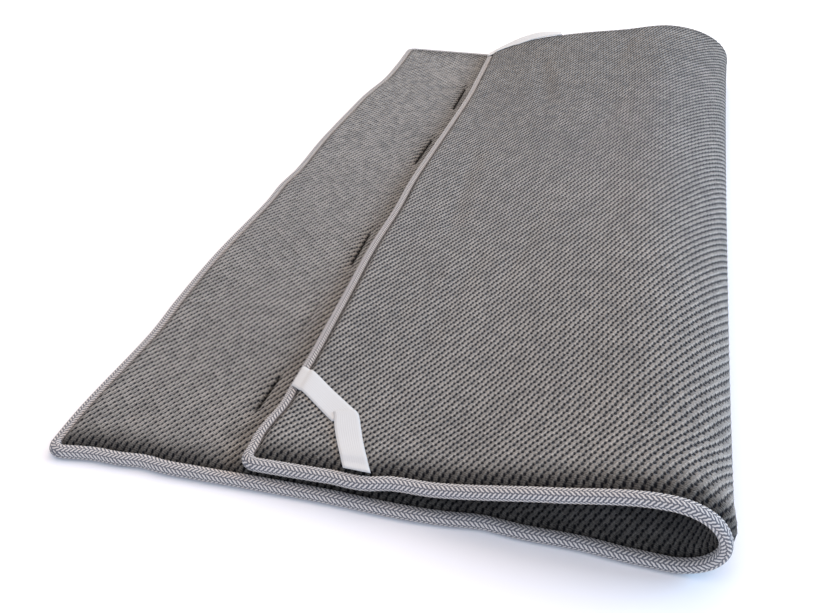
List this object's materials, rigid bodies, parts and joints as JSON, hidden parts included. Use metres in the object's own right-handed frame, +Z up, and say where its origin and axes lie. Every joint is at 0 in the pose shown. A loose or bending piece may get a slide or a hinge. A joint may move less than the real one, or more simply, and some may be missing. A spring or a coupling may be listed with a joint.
{
  "type": "mattress topper",
  "caption": "Thick spacer-knit mattress topper folded over itself in one soft loop, with a herringbone-taped edge and elastic corner straps.",
  "frame": {"origin": "middle of the footprint, on the surface that the lower layer lies on", "axes": "+Z up; +Y along the fold, from the front edge to the back; +X across the fold, towards the loop"},
  "size_m": [0.9876, 2.0132, 0.152],
  "materials": {
    "spacer_knit": "matte warp-knitted spacer cloth with a dotted relief",
    "herringbone_tape": "matte woven herringbone tape",
    "woven_elastic": "matte finely ribbed elastic"
  },
  "bodies": {
    "root": {"pad": "spacer_knit", "edge_binding": "herringbone_tape", "front_corner_strap": "woven_elastic", "back_corner_strap": "woven_elastic"}
  },
  "joints": []
}
